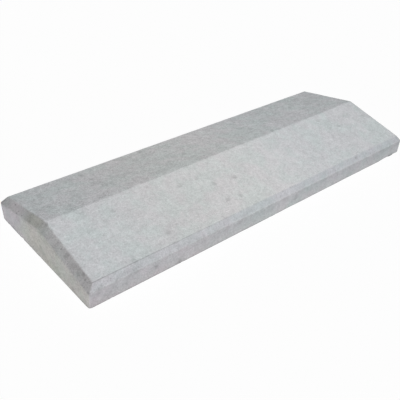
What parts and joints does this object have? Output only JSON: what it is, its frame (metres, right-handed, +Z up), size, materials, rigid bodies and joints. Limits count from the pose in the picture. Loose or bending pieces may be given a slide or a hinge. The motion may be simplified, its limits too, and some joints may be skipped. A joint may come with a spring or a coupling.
{
  "type": "coping slab",
  "caption": "Long concrete wall capping whose top falls both ways from a middle ridge, with a bevelled arris all round the top and a flat bed.",
  "frame": {"origin": "middle of the flat bed, on the level that the slab lies on", "axes": "+X along the ridge, which is the slab's length, +Y across the wall, +Z up through the thickness"},
  "size_m": [1, 0.35, 0.088],
  "materials": {
    "cast_concrete": "smooth cast grey concrete, matt, with a fine sandy face and small pores"
  },
  "bodies": {
    "root": {"coping_slab": "cast_concrete"}
  },
  "joints": []
}
